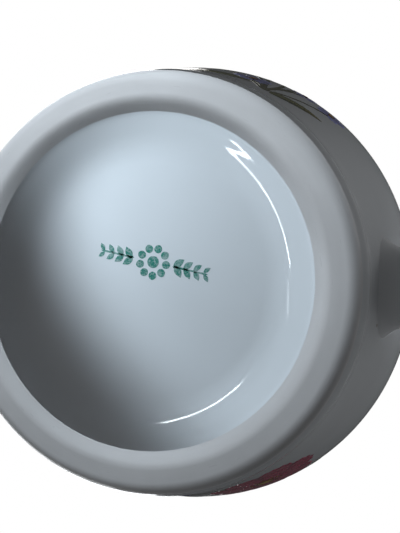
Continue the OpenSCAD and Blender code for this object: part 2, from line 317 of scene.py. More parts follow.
def skin(rings, loop=False, **marks):
    """Quads between each ring of points and the next, with the outside where ring x path points.

    A loop joins its last ring to its first. Any other skin closes on the middle of each end ring.
    marks are numbers for each point of the grid, which the materials read.
    """
    n, m = rings.shape[:2]
    k = np.arange(m)
    j = np.roll(k, -1)
    marks = {name: np.broadcast_to(value, (n, m)) for name, value in marks.items()}
    if loop:
        low = np.arange(n)[:, None] * m
        high = np.roll(low, -1, axis=0)
        quads = np.stack([low + k, low + j, high + j, high + k], -1).reshape(-1, 4)
        tris = np.zeros((0, 3), int)
        return rings.reshape(-1, 3), quads, tris, {a: v.ravel() for a, v in marks.items()}
    low = np.arange(n - 3)[:, None] * m
    quads = np.stack([low + k, low + j, low + m + j, low + m + k], -1).reshape(-1, 4)
    first, far = (n - 2) * m, (n - 3) * m
    tris = np.vstack([np.stack([np.full(m, first), j, k], 1),
                      np.stack([far + k, far + j, np.full(m, first + 1)], 1)])
    points = np.vstack([rings[1:-1].reshape(-1, 3), rings[0].mean(0), rings[-1].mean(0)])
    values = {a: np.r_[v[1:-1].ravel(), v[0].mean(), v[-1].mean()] for a, v in marks.items()}
    return points, quads, tris, values


def turned(path, sides=256, loop=False):
    """A path [radius, height] carried round Z: x = r cos a, y = r sin a, z = h."""
    a = np.linspace(0, 2 * math.pi, sides, endpoint=False)
    r, z = path[:, :1], path[:, 1:]
    return skin(np.stack([r * np.cos(a), r * np.sin(a), np.broadcast_to(z, (len(path), sides))],
                         -1), loop)


def motif(place, edge, size, lift, sink, rows=7, **marks):
    """A flat print from its middle out to its edge, on both faces.

    The point at a share q of the way out and at the angle a is q edge(a) (cos a, sin a) size / 2.
    The shares run out on the underside, which is sunk, and back in on top, which is lifted.
    """
    a = np.linspace(0, 2 * math.pi, len(edge), endpoint=False)
    out = np.linspace(0, 1, rows)
    q = np.r_[out[[0, rows // 2, rows - 1]], out[::-1]][:, None]
    up = np.r_[-sink, -sink, -sink, np.full(rows, lift)][:, None]
    u, v = (q * edge * f(a) * size / 2 for f in (np.cos, np.sin))
    return skin(place(u, v, np.broadcast_to(up, u.shape)), spread=q, **marks)


def blade(place, start, end, bow, width, lift, sink, rows=26, columns=5, edge=None, **marks):
    """A flat print along a line from start to end, which bows sideways by 4 bow t (1 - t).

    Its half width at t is width / 2 times edge(t), and each ring runs over the top and back
    underneath. along is t, and across runs from -1 to 1.
    """
    t = np.linspace(0, 1, rows)[:, None]
    start, end = np.array(start, float), np.array(end, float)
    d = end - start
    side = np.array([-d[1], d[0]])
    middle = start + d * t + side * bow * 4 * t * (1 - t)
    way = d + side * bow * 4 * (1 - 2 * t)
    way = way / np.linalg.norm(way, axis=1)[:, None]
    left = np.stack([-way[:, 1], way[:, 0]], 1)
    half = width / 2 * (edge(t) if edge else np.sqrt(np.clip(1 - (2 * t - 1)**18, 0, 1)))
    over = np.linspace(1, -1, columns)
    c = np.r_[over, over[::-1]][None]
    up = np.r_[np.full(columns, lift), np.full(columns, -sink)][None]
    u = middle[:, :1] + left[:, :1] * half * c
    v = middle[:, 1:] + left[:, 1:] * half * c
    return skin(place(u, v, np.broadcast_to(up, u.shape)), along=t, across=c, **marks)


def piece(name, skins, material, slot, *nodes, crease=50):
    """One object from its skins, at the origin, riding on the mug and standing for CAD nodes."""
    points, faces, first = [], [], 0
    marks = {key: [s[3].get(key, np.zeros(len(s[0]))) for s in skins]
             for key in sorted({key for s in skins for key in s[3]})}
    for at, quads, tris, _ in skins:
        points.append(at)
        faces += (quads + first).tolist() + (tris + first).tolist()
        first += len(at)
    mesh = bpy.data.meshes.new(name)
    mesh.from_pydata(np.vstack(points).tolist(), [], faces)
    for key, value in marks.items():
        layer = mesh.attributes.new(key, "FLOAT", "POINT")
        layer.data.foreach_set("value", np.concatenate(value).astype(np.float32))
    mesh.shade_smooth()
    mesh.set_sharp_from_angle(angle=math.radians(crease))
    mesh.materials.append(material)
    mesh.validate()
    made = bpy.data.objects.new(name, mesh)
    bpy.context.scene.collection.objects.link(made)
    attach(made, ROOT)
    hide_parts(*nodes)


# ---- Finishes ----


class Nodes:
    """A tree of nodes that is being built."""

    def __init__(self, tree):
        self.tree = tree

    def put(self, socket, value):
        """Links a socket, or sets its own value."""
        if isinstance(value, bpy.types.NodeSocket):
            self.tree.links.new(value, socket)
        else:
            socket.default_value = value

    def node(self, kind, inputs, **settings):
        """Adds a node, and returns its outputs."""
        node = self.tree.nodes.new("ShaderNode" + kind)
        for name, value in settings.items():
            setattr(node, name, value)
        for name, value in inputs.items():
            self.put(node.inputs[name], value)
        return node.outputs

    def span(self, value, low, high, to_low=0.0, to_high=1.0):
        """Carries low..high to to_low..to_high, held at its ends."""
        return self.node("MapRange", {"Value": value, "From Min": low, "From Max": high,
                                      "To Min": to_low, "To Max": to_high})["Result"]


class Finish(Nodes):
    """A material made of nodes round one Principled shader."""

    def __init__(self, name, **values):
        self.material = bpy.data.materials.new(name)
        self.material.use_nodes = True
        super().__init__(self.material.node_tree)
        self.shader = self.tree.nodes["Principled BSDF"]
        self.at = self.node("TexCoord", {})["Object"]
        self.wet(**values)

    def wet(self, **values):
        """Sets the shader's sockets by name, with _ for a space."""
        for name, value in values.items():
            self.put(self.shader.inputs[name.replace("_", " ")], value)

    def sum(self, operation, a, b=0.0):
        """One step of arithmetic."""
        return self.node("Math", {0: a, 1: b}, operation=operation)[0]

    def mark(self, name):
        """A number kept on the piece's points."""
        return self.node("Attribute", {}, attribute_name=name)["Fac"]

    def noise(self, scale, detail=2.0, rough=0.5, at=None):
        """Soft noise from 0 to 1, with scale features to the metre."""
        return self.node("TexNoise", {"Vector": at or self.at, "Scale": scale, "Detail": detail,
                                      "Roughness": rough})["Fac"]

    def cells(self, scale):
        """Distance to the nearest of scattered points, with scale points to the metre."""
        return self.node("TexVoronoi", {"Vector": self.at, "Scale": scale})["Distance"]

    def blend(self, factor, a, b):
        """Mixes two colours."""
        a, b = (v if isinstance(v, bpy.types.NodeSocket) else (*v, 1.0) for v in (a, b))
        return self.node("Mix", {0: factor, 6: a, 7: b}, data_type="RGBA")[2]

    def relief(self, height, distance, strength=1.0, under=None):
        """Bump from a height in 0..1 that stands for the given distance."""
        inputs = {"Height": height, "Distance": distance, "Strength": strength}
        if under is not None:
            inputs["Normal"] = under
        return self.node("Bump", inputs)["Normal"]


def tint(c, by):
    """A colour made lighter or darker."""
    return tuple(min(1.0, v * by) for v in c)


def white_glaze(c):
    """Gloss glaze: cool white, a faint pooled tint, orange-peel relief and a few pinholes."""
    f = Finish("white_glaze", IOR=1.52, Coat_Weight=0.25, Coat_Roughness=0.03)
    cloud = f.noise(45.0, 3.0)
    pooled = f.blend(f.span(cloud, 0.3, 0.7), tint(c.glaze, 0.955), tint(c.glaze, 1.02))
    rare = f.span(f.noise(60.0, 0.0), 0.68, 0.72)
    pin = f.sum("MULTIPLY", f.span(f.cells(120.0), 0.022, 0.034, 1.0, 0.0), rare)
    f.wet(Base_Color=f.blend(pin, pooled, (0.26, 0.22, 0.17)))
    f.wet(Roughness=f.span(f.noise(300.0), 0.3, 0.7, 0.035, 0.085))
    slow = f.relief(f.noise(110.0, 1.0), 0.10 * mm, 0.6)
    fine = f.relief(f.noise(900.0, 1.0), 0.004 * mm, 0.5, slow)
    f.wet(Normal=f.relief(pin, 0.05 * mm, -0.6, fine))
    return f.material


def polished_porcelain(c):
    """Bare porcelain, ground on a wheel: fine rings round the axis, a satin sheen and specks."""
    f = Finish("bare_porcelain", IOR=1.5)
    x, y, z = f.node("SeparateXYZ", {"Vector": f.at})[:3]
    r = f.sum("SQRT", f.sum("ADD", f.sum("MULTIPLY", x, x), f.sum("MULTIPLY", y, y)))
    turn = f.sum("ARCTAN2", y, x)
    rolled = f.node("CombineXYZ", {"X": r, "Y": f.sum("MULTIPLY", turn, 0.004), "Z": z})[0]
    rings = f.noise(2600.0, 3.0, at=rolled)
    broad = f.noise(420.0, at=rolled)
    cloud = f.noise(70.0, 3.0)
    tone = f.blend(f.span(cloud, 0.3, 0.7), tint(c.bare, 0.93), tint(c.bare, 1.05))
    tone = f.blend(f.span(broad, 0.35, 0.75, 0.0, 0.35), tone, tint(c.bare, 0.80))
    rare = f.span(f.noise(75.0, 0.0), 0.57, 0.60)
    speck = f.sum("MULTIPLY", f.span(f.cells(170.0), 0.05, 0.08, 1.0, 0.0), rare)
    f.wet(Base_Color=f.blend(speck, tone, (0.12, 0.11, 0.10)))
    f.wet(Roughness=f.span(rings, 0.3, 0.7, 0.27, 0.46))
    low = f.relief(rings, 0.010 * mm, 0.55)
    f.wet(Normal=f.relief(f.noise(1500.0, 3.0), 0.006 * mm, 0.5, low))
    return f.material


def luting_slip(c):
    """Dried slip: matt, a little yellower than the body, with brush drag."""
    f = Finish("luting_slip", IOR=1.5)
    f.wet(Base_Color=f.blend(f.noise(200.0, 3.0), tint(c.slip, 0.85), tint(c.slip, 1.1)))
    f.wet(Roughness=f.span(f.noise(500.0), 0.3, 0.7, 0.55, 0.75))
    f.wet(Normal=f.relief(f.noise(700.0, 3.0), 0.03 * mm, 0.7))
    return f.material


def ink_gloss(f):
    """What every print shares: screen grain in the ink, and the gloss of the glaze under it."""
    grain = f.cells(3600.0)
    f.wet(Roughness=f.span(f.noise(700.0), 0.3, 0.7, 0.10, 0.20))
    f.wet(Normal=f.relief(grain, 0.006 * mm, 0.5))
    return grain


def inked(f, grain, thin, shade, c):
    """Lets a little of the white glaze show through the ink between its grains."""
    f.wet(Base_Color=f.blend(f.span(grain, 0.35, 0.75, 0.0, thin), shade, c.glaze))
    return f.material


def petal_print(c, name, heart, petal, tip, folds):
    """Petals: heart to tip along the petal, darker in the folds between petals, with fine veins."""
    f = Finish(name, IOR=1.5)
    grain = ink_gloss(f)
    spread, fold, tier, tone = (f.mark(m) for m in ("spread", "fold", "tier", "tone"))
    out = f.sum("ADD", spread, f.span(f.noise(420.0, 3.0), 0.0, 1.0, -0.16, 0.16))
    shade = f.blend(f.span(out, 0.12, 0.62), heart, petal)
    shade = f.blend(f.sum("MULTIPLY", f.span(out, 0.62, 1.0), f.span(tier, 0.0, 1.0, 0.25, 0.9)),
                    shade, tip)
    shade = f.blend(f.span(fold, 0.0, 0.42, folds, 0.0), shade, heart)
    vein = f.sum("ABSOLUTE", f.sum("SINE", f.sum("MULTIPLY", fold, 11.0)))
    line = f.sum("MULTIPLY", f.span(vein, 0.0, 0.35, 0.45, 0.0), f.span(spread, 0.2, 0.9, 1.0, 0.1))
    shade = f.blend(line, shade, heart)
    shade = f.blend(f.span(tone, 0.0, 1.0, 0.0, 0.22), shade, tint(petal, 1.5))
    return inked(f, grain, 0.16, shade, c)


def heart_print(c):
    """Flower hearts: ochre with a brown rim and brown stipple."""
    f = Finish("ochre_print", IOR=1.5)
    ink_gloss(f)
    dots = f.cells(1500.0)
    shade = f.blend(f.span(f.mark("spread"), 0.55, 1.0), tint(c.ochre, 1.15), (0.20, 0.09, 0.02))
    f.wet(Base_Color=f.blend(f.span(dots, 0.18, 0.30, 0.75, 0.0), shade, (0.10, 0.045, 0.015)))
    return f.material


def leaf_print(c):
    """Leaves: one half dark and one light, a pale midrib, slanted side veins and a warm tip."""
    f = Finish("leaf_print", IOR=1.5)
    grain = ink_gloss(f)
    along, across, tone = (f.mark(m) for m in ("along", "across", "tone"))
    wide = f.sum("ABSOLUTE", across)
    uneven = f.span(f.noise(380.0, 3.0), 0.0, 1.0, -0.45, 0.45)
    half = f.span(f.sum("ADD", across, uneven), -0.35, 0.45)
    shade = f.blend(half, c.leaf, [mix(a, b, 0.6) for a, b in zip(c.leaf, c.leaf_light)])
    shade = f.blend(f.span(along, 0.55, 1.0, 0.0, 0.55), shade, (0.30, 0.20, 0.04))
    slant = f.sum("SUBTRACT", f.sum("MULTIPLY", along, 30.0), f.sum("MULTIPLY", wide, 5.0))
    vein = f.sum("ABSOLUTE", f.sum("SINE", slant))
    shade = f.blend(f.span(vein, 0.0, 0.28, 0.55, 0.0), shade, c.leaf_light)
    shade = f.blend(f.span(wide, 0.05, 0.14, 0.85, 0.0), shade, tint(c.leaf_light, 1.3))
    shade = f.blend(f.span(wide, 0.80, 1.0, 0.0, 0.7), shade, tint(c.leaf, 0.6))
    shade = f.blend(f.span(tone, 0.0, 1.0, 0.0, 0.3), shade, c.leaf_light)
    return inked(f, grain, 0.14, shade, c)


def stem_print(c):
    """Stems: olive brown, darker along one edge."""
    f = Finish("stem_print", IOR=1.5)
    grain = ink_gloss(f)
    shade = f.blend(f.span(f.mark("across"), -0.6, 0.8), tint(c.stem, 0.55), tint(c.stem, 1.35))
    shade = f.blend(f.span(f.noise(260.0), 0.4, 0.7, 0.0, 0.5), shade, c.leaf)
    return inked(f, grain, 0.18, shade, c)


def base_print(c):
    """Stamped ink under the glaze: teal green, patchy, and thin towards the edges."""
    f = Finish("green_print", IOR=1.52, Coat_Weight=0.25, Coat_Roughness=0.05)
    grain = ink_gloss(f)
    patch = f.span(f.noise(1100.0, 4.0, 0.6), 0.46, 0.72, 0.0, 0.55)
    shade = f.blend(f.noise(300.0), tint(c.ink, 0.75), tint(c.ink, 1.25))
    thin = f.sum("MAXIMUM", patch, f.span(grain, 0.45, 0.8, 0.0, 0.4))
    f.wet(Base_Color=f.blend(thin, shade, tint(c.glaze, 0.92)))
    return f.material


# ---- The flower bunches ----

HAIR = 0.4e-6   # how far each motif lies above the one before, so that no two faces coincide

# Each bunch is the foot of its stems, its blooms, its violets and its leaves.
# Places are [azimuth in degrees, distance up the wall from the crease in mm]; blooms and violets
# add their size as a share of the usual one, and leaves add their direction and their size.
BUNCHES = (
    ((-62, 5),
     ((-74, 47, 1), (-96, 31, 0.72)),
     ((-69, 14, 0.65), (-57, 22, 0.5), (-48, 20, 0.6), (-48, 42, 1), (-99, 55, 0.9),
      (-61, 69, 0.8)),
     ((-60, 5, 35, 0.7), (-67, 9, 160, 0.8), (-53, 29, 20, 1), (-66, 28, 80, 1),
      (-84, 20, 150, 1), (-84, 63, 130, 1), (-57, 53, 40, 1), (-105, 41, 170, 0.8))),
    ((70, 6),
     ((74, 50, 1), (62, 14, 0.75), (95, 30, 0.72)),
     ((86, 9, 0.65), (48, 33, 0.8), (50, 53, 1), (98, 57, 0.9), (69, 71, 0.8)),
     ((84, 18, 60, 0.9), (66, 27, 95, 0.9), (51, 22, 60, 0.7), (57, 41, 150, 0.9),
      (86, 63, 50, 1), (62, 62, 130, 1), (103, 41, 20, 0.8))),
    ((180, 5),
     ((179, 47, 1), (202, 29, 0.72), (160, 27, 0.62)),
     ((172, 12, 0.6), (190, 16, 0.65), (156, 54, 0.9), (204, 53, 1), (188, 70, 0.8)),
     ((181, 22, 85, 1), (168, 16, 130, 0.8), (192, 22, 40, 0.8), (168, 62, 130, 1),
      (196, 61, 50, 1), (212, 38, 20, 0.8), (150, 37, 150, 0.8), (193, 38, 330, 0.7))))
LOOSE_VIOLETS = ((-126, 37, 0.8), (-131, 14, 0.6), (127, 39, 0.8), (129, 15, 0.6),
                 (-128, 62, 0.65), (126, 63, 0.65), (33, 66, 0.65), (-33, 64, 0.65))


# A bloom's tiers of petals: their number, width, notch and frill, and how high they lie.
TIERS = ((7, 1.0, 0.20, 0.07, 0.0), (6, 0.68, 0.24, 0.06, 0.5), (5, 0.42, 0.30, 0.0, 1.0))


def blooms(wall):
    """The number, the place and the size of every large bloom."""
    flowers = [f for b in BUNCHES for f in b[1]]
    return [(i, wall.spot(*at), big) for i, (*at, big) in enumerate(flowers)]


def violets(wall):
    """The number, the place and the size of every violet."""
    flowers = [f for b in BUNCHES for f in b[2]] + list(LOOSE_VIOLETS)
    return [(i, wall.spot(*at), big) for i, (*at, big) in enumerate(flowers)]


def toss(i, salt=0.0):
    """A fixed number from 0 to 1 for the i-th motif: the fraction of i times the golden share."""
    return (i * 0.61803 + salt) % 1.0


def frilled(n, notch, frill, teeth, phase=0.0, points=210):
    """Edge of n petals, as a share of the radius, and how far each angle is from a fold.

    The fold falls to 0 between petals as |sin(n a / 2)|. The edge is 1 minus the notch times
    (1 - fold)^1.6, minus a frill of small teeth that is deepest on the petals' ends.
    """
    a = n / 2 * (np.linspace(0, 2 * math.pi, points, endpoint=False) + phase)
    fold = np.abs(np.sin(a))
    return 1 - notch * (1 - fold)**1.6 - frill * np.abs(np.sin(teeth * a)) * fold, fold


def cleft(n, notch, dent, phase):
    """Edge of n heart-shaped petals: round lobes with a dent in the middle of each end."""
    a = n / 2 * (np.linspace(0, 2 * math.pi, 110, endpoint=False) + phase)
    fold = np.abs(np.sin(a))
    return 1 - notch * (1 - fold)**1.3 - dent * np.clip((fold - 0.86) / 0.14, 0, 1)**2, fold


def printing(scene):
    """The sizes of the prints, the colours, and the wall that they lie on."""
    return scene.mug_transfers, scene.mug_colours, Wall(scene.mug_body)


# ---- Operators: one for each piece or group of like pieces ----


class MUG_OT_body(bpy.types.Operator):
    """Turn the bare body, of which only the polished band of the foot shows"""

    bl_idname = "mug.body"
    bl_label = "Bare body"

    def execute(self, context):
        scene = context.scene
        foot, outer, lip, inner, recess = outlines(scene.mug_body)
        path = np.vstack([recess, foot, outer[1:], lip[1:], inner[1:]])
        piece("mug_body_turned", [turned(path)], polished_porcelain(scene.mug_colours),
              "bare_porcelain", "mug_body", crease=70)
        return {"FINISHED"}


class MUG_OT_handle_core(bpy.types.Operator):
    """Give the bare strap and its two luted joints, under the glaze, their finishes"""

    bl_idname = "mug.handle_core"
    bl_label = "Strap and joints"

    def execute(self, context):
        slip = luting_slip(context.scene.mug_colours)
        for name, material in (("handle", bpy.data.materials["bare_porcelain"]),
                               ("upper_handle_joint", slip), ("lower_handle_joint", slip)):
            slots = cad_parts[name].data.materials
            slots.clear()
            slots.append(material)
        return {"FINISHED"}


RIM_LONG = 9    # length over which a coat runs out, in its own thicknesses


class MUG_OT_glaze(bpy.types.Operator):
    """Coat the outside, the inside and the foot's recess"""

    bl_idname = "mug.glaze"
    bl_label = "Glaze on the body"

    def execute(self, context):
        body = context.scene.mug_body
        foot, outer, lip, inner, recess = outlines(body)
        white = white_glaze(context.scene.mug_colours)
        middle = len(lip) // 2
        outside = np.vstack([foot[foot[:, 1] > body.bare], outer[1:], lip[1:middle + 1]])
        inside = np.vstack([lip[middle:], inner[1:]])
        under = recess[recess[:, 1] > body.bare]
        rim = body.glaze * RIM_LONG
        ring = np.vstack([coat(outside, body.glaze, start=rim), outside[::-1]])
        cup = np.vstack([[(0, inside[-1, 1])], inside[::-1][1:], coat(inside, body.glaze)])
        dish = np.vstack([coat(under, body.glaze, end=rim), under[::-1][1:]])
        for node, path, loop in (("outside_glaze", ring, True), ("inside_glaze", cup, False),
                                 ("foot_recess_glaze", dish, False)):
            piece(node + "_coat", [turned(path, loop=loop)], white, "white_glaze", node,
                  crease=80)
        return {"FINISHED"}


def ear(body, handle, wall):
    """The handle's centre line [x, z]: two cubics that meet upright at the farthest point."""
    def root(z):
        return np.array([np.interp(z, wall.bare[:, 1], wall.bare[:, 0]), z])
    top, low = root(body.height - handle.drop), root(handle.low)
    bow = np.array([body.belly / 2 + handle.reach - handle.thick / 2, mix(low[1], top[1], 0.62)])
    return np.vstack([
        bezier(top, top + [handle.reach * 0.45, 4.5 * mm], (bow[0], top[1] + 3 * mm), bow, 80),
        bezier(bow, (bow[0], mix(bow[1], low[1], 0.55)), low + [handle.reach * 0.72, 6.5 * mm],
               low, 80)[1:]])


ROOT_LONG = 9 * mm      # way in which an ellipse turns from the wall's shape to its own plane
ROOT_EDGE = 0.3 * mm    # way in which the skin comes up out of the wall
ROOT_SUNK = 0.04 * mm   # how deep its edge lies in the glaze of the wall
ROOT_DEEP = 0.9 * mm    # how deep its closed end lies


class MUG_OT_handle_glaze(bpy.types.Operator):
    """Draw the glaze over the ear handle, with a soft flare where each root meets the wall"""

    bl_idname = "mug.handle_glaze"
    bl_label = "Glaze on the handle"

    def execute(self, context):
        scene = context.scene
        piece("handle_glaze_skin", [self.strap(scene.mug_body, scene.mug_handle)],
              bpy.data.materials["white_glaze"], "white_glaze", "handle_glaze", crease=80)
        return {"FINISHED"}

    def strap(self, body, handle):
        """Ellipses carried along the ear.

        An ellipse grows towards a root by F exp(-d / L), with F the flare, L its length and d the
        distance to the wall, and near a root it bends from its own plane onto the wall.
        """
        wall = Wall(body)
        line = ear(body, handle, wall)
        run = way_along(line)
        long = run[-1]
        near = handle.flare * (1 - np.cos(np.linspace(0, math.pi / 2, 12)))
        s = np.r_[near, np.linspace(handle.flare, long - handle.flare, 92)[1:-1],
                  long - near[::-1]][:, None]

        def at(q):
            return np.hstack([np.interp(q, run, line[:, k]) for k in (0, 1)])
        c, d = at(s), at(s + 0.4 * mm) - at(s - 0.4 * mm)
        t = d / np.linalg.norm(d, axis=1)[:, None]
        off = np.minimum(s, long - s)
        flare = handle.flare * np.exp(-off / handle.flare_long)
        a = handle.wide / 2 + flare + body.glaze
        b = handle.thick / 2 + flare + body.glaze
        q = np.linspace(0, 2 * math.pi, 64, endpoint=False)[None]
        y, h = a * np.cos(q), b * np.sin(q)
        x = c[:, :1] - t[:, 1:] * h
        z = c[:, 1:] + t[:, :1] * h
        on = np.sqrt(wall.radius(z)**2 - y**2) + off * np.abs(t[:, :1])
        on = on - ROOT_SUNK * (1 - smooth(off / ROOT_EDGE))
        x = mix(x, on, 1 - smooth(off / ROOT_LONG))
        rings = np.stack([x, y, z], -1)
        into_wall = [[-ROOT_DEEP, 0, 0]]
        first, last = rings[:1] + into_wall, rings[-1:] + into_wall
        return skin(np.concatenate([first, first, rings, last, last]))


class MUG_OT_blooms(bpy.types.Operator):
    """Print the large crimson blooms, each with three tiers of frilled petals"""

    bl_idname = "mug.blooms"
    bl_label = "Crimson blooms"

    def execute(self, context):
        sizes, c, wall = printing(context.scene)
        skins = []
        for i, place, big in blooms(wall):
            for petals, across, notch, frill, tier in TIERS:
                edge, fold = frilled(petals, notch, frill, 5, phase=toss(i, tier) * 2)
                skins.append(motif(place, edge, sizes.bloom * big * across,
                                   sizes.ink * (1.5 + tier * 1.2) + i * HAIR, sizes.ink, 10,
                                   fold=fold, tier=tier, tone=toss(i)))
        piece("crimson_blooms_print", skins,
              petal_print(c, "crimson_print", c.crimson_deep, c.crimson, c.rose, 0.85),
              "crimson_print", "crimson_blooms")
        return {"FINISHED"}


class MUG_OT_violets(bpy.types.Operator):
    """Print the violets, each with five heart-shaped petals"""

    bl_idname = "mug.violets"
    bl_label = "Violets"

    def execute(self, context):
        sizes, c, wall = printing(context.scene)
        skins = []
        for i, place, big in violets(wall):
            edge, fold = cleft(5, 0.52, 0.12, toss(i) * 2)
            skins.append(motif(place, edge, sizes.violet * big * 1.08, sizes.ink * 1.8 + i * HAIR,
                               sizes.ink, 8, fold=fold, tier=1.0, tone=toss(i, 0.3)))
        piece("violet_flowers_print", skins,
              petal_print(c, "violet_print", c.violet_deep, c.violet, tint(c.violet, 1.45), 0.9),
              "violet_print", "violet_flowers")
        return {"FINISHED"}


class MUG_OT_hearts(bpy.types.Operator):
    """Print the ochre hearts, with a ring of anthers round each large one"""

    bl_idname = "mug.hearts"
    bl_label = "Flower hearts"

    def execute(self, context):
        sizes, colours, wall = printing(context.scene)
        skins = []
        ink = (sizes.ink * 4, sizes.ink)
        disc = frilled(9, 0.12, 0.0, 1, points=54)[0]
        for _, place, big in blooms(wall):
            across = sizes.bloom * big
            skins.append(motif(place, disc, across * 0.17, *ink, 5))
            for k in range(11):
                a = 2 * math.pi * k / 11
                ring = across * (0.128 + 0.018 * (k % 2))
                put = moved(place, ring * math.cos(a), ring * math.sin(a))
                skins.append(motif(put, np.ones(10), across * 0.030, *ink, 3))
        for _, place, big in violets(wall):
            skins.append(motif(place, disc, sizes.violet * 0.25 * big, *ink, 4))
        piece("flower_centres_print", skins, heart_print(colours), "ochre_print",
              "flower_centres")
        return {"FINISHED"}


def moved(place, du, dv, turn=0.0):
    """A place shifted by (du, dv), after its own (u, v) are turned."""
    def put(u, v, lift):
        return place(du + u * math.cos(turn) - v * math.sin(turn),
                     dv + u * math.sin(turn) + v * math.cos(turn), lift)
    return put


class MUG_OT_leaves(bpy.types.Operator):
    """Print the leaves, pointed and slightly toothed, with a bowed midrib"""

    bl_idname = "mug.leaves"
    bl_label = "Leaves"

    def execute(self, context):
        sizes, colours, wall = printing(context.scene)

        def edge(t):
            """Half width along the leaf: sin(pi t^0.85)^0.8, with small teeth."""
            full = np.sin(math.pi * t**0.85)
            return np.clip(full, 0, 1)**0.8 * (1 - 0.10 * np.abs(np.sin(t * 28)))
        skins = []
        for i, (*at, turn, big) in enumerate(f for b in BUNCHES for f in b[3]):
            way = math.radians(turn)
            end = sizes.leaf * big * np.array([math.cos(way), math.sin(way)])
            skins.append(blade(wall.spot(*at), (0, 0), end, 0.12, sizes.leaf_wide * big,
                               sizes.ink + i * HAIR, sizes.ink, rows=40, columns=11, edge=edge,
                               tone=toss(i)))
        piece("leaves_print", skins, leaf_print(colours), "leaf_print", "leaves")
        return {"FINISHED"}


class MUG_OT_stems(bpy.types.Operator):
    """Print the thin stems, from the foot of each bunch to its flowers"""

    bl_idname = "mug.stems"
    bl_label = "Stems"

    def execute(self, context):
        sizes, colours, wall = printing(context.scene)
        skins = []
        for foot, large, small, _ in BUNCHES:
            for i, flower in enumerate(large + small):
                to = wall.offset(foot, flower)
                skins.append(blade(wall.spot(*foot), 0.02 * to, 0.95 * to,
                                   math.copysign(0.07, to[0]), sizes.stem,
                                   sizes.ink * 0.6 + i * HAIR, sizes.ink, rows=34, columns=4))
        piece("stems_print", skins, stem_print(colours), "leaf_print", "stems")
        return {"FINISHED"}


class MUG_OT_ornament(bpy.types.Operator):
    """Print the small green ornament under the foot: a rosette between two leafy sprigs"""

    bl_idname = "mug.ornament"
    bl_label = "Base ornament"

    def execute(self, context):
        sizes, body = context.scene.mug_transfers, context.scene.mug_body
        long, c, s = sizes.ornament, math.cos(sizes.turn), math.sin(sizes.turn)

        def base(u, v, lift):
            """u and v on the level underside, seen from below."""
            return np.stack([sizes.along + u * c + v * s, sizes.across + u * s - v * c,
                             body.recess - body.glaze - lift], -1)
        ink = (sizes.ink, sizes.ink)
        petal = 1 - 0.28 * np.abs(np.sin(np.linspace(0, math.pi, 28, endpoint=False)))
        skins = [motif(base, np.ones(28), long * 0.105, *ink, 6)]
        for k in range(9):
            a = 2 * math.pi * k / 9
            put = moved(base, long * 0.115 * math.cos(a), long * 0.115 * math.sin(a), a)
            skins.append(motif(put, petal, long * 0.086, *ink, 5))
        for side in (-1, 1):
            skins.append(blade(base, (side * long * 0.178, 0), (side * long * 0.505, 0), 0.0,
                               long * 0.016, *ink, rows=12, columns=3))
            for k in range(4):
                for up in (-1, 1):
                    way = math.pi / 2 - side * math.pi / 2 + side * up * math.radians(48)
                    put = moved(base, side * long * (0.2 + 0.085 * k), 0, way)
                    half = long * (0.062 - 0.008 * k)
                    skins.append(blade(put, (long * 0.045 - half, 0), (long * 0.045 + half, 0),
                                       0.05, half, *ink, rows=16,
                                       edge=lambda t: np.sin(math.pi * t)))
        piece("base_ornament_print", skins, base_print(context.scene.mug_colours),
              "green_print", "base_ornament")
        return {"FINISHED"}


# ---- The stage ----


def toward(aim, azimuth, elevation, away, roll=0.0):
    """The place of a light at an azimuth and elevation from its aim, turned towards the aim."""
    a, e = math.radians(azimuth), math.radians(elevation)
    back = Vector((math.cos(a) * math.cos(e), math.sin(a) * math.cos(e), math.sin(e)))
    return (Matrix.Translation(Vector(aim) + back * away)
            @ (-back).to_track_quat("-Z", "Y").to_matrix().to_4x4()
            @ Matrix.Rotation(math.radians(roll), 4, "Z"))


def light(name, kind, place, energy, tone, *falls_on, soft=True, gloss=True):
    """A light, which falls on the named pieces alone if there are any.

    It lights them softly, shows in their gloss, or both.
    """
    data = bpy.data.lights.new(name, kind)
    data.energy = energy
    data.color = tone
    lamp = bpy.data.objects.new(name, data)
    bpy.context.scene.collection.objects.link(lamp)
    lamp.matrix_world = place
    lamp.visible_camera = False
    lamp.visible_diffuse, lamp.visible_glossy = soft, gloss
    if falls_on:
        lit = bpy.data.collections.new(name + "_falls_on")
        for piece_name in falls_on:
            lit.objects.link(bpy.data.objects[piece_name])
        lamp.light_linking.receiver_collection = lit
    return data


def window(name, place, wide, high, strength, tone, *falls_on, **shown):
    """A rectangular light, whose power is its brightness times pi times its area."""
    data = light(name, "AREA", place, strength * math.pi * wide * high, tone, *falls_on, **shown)
    data.shape = "RECTANGLE"
    data.size, data.size_y = wide, high


def room(stage):
    """White where the camera sees it; otherwise a soft room, brighter above than below."""
    world = bpy.data.worlds.new("room")
    bpy.context.scene.world = world
    world.use_nodes = True
    world.node_tree.nodes.clear()
    w = Nodes(world.node_tree)
    way = w.node("SeparateXYZ", {"Vector": w.node("TexCoord", {})["Generated"]})
    rays = w.node("LightPath", {})
    below = w.span(way["X"], -0.3, 0.6, stage.ground, stage.ground * 0.2)
    bright = w.span(way["Z"], 0.2, 0.85, below, stage.sky)
    bright = w.span(rays["Is Glossy Ray"], 0.0, 1.0, bright, stage.gloss * stage.sky)
    soft = w.node("Background", {"Color": (0.96, 0.98, 1.0, 1.0), "Strength": bright})[0]
    white = w.node("Background", {"Color": (1.0, 1.0, 1.0, 1.0), "Strength": 1.0})[0]
    seen = w.node("MixShader", {0: rays["Is Camera Ray"], 1: soft, 2: white})[0]
    w.node("OutputWorld", {"Surface": seen})


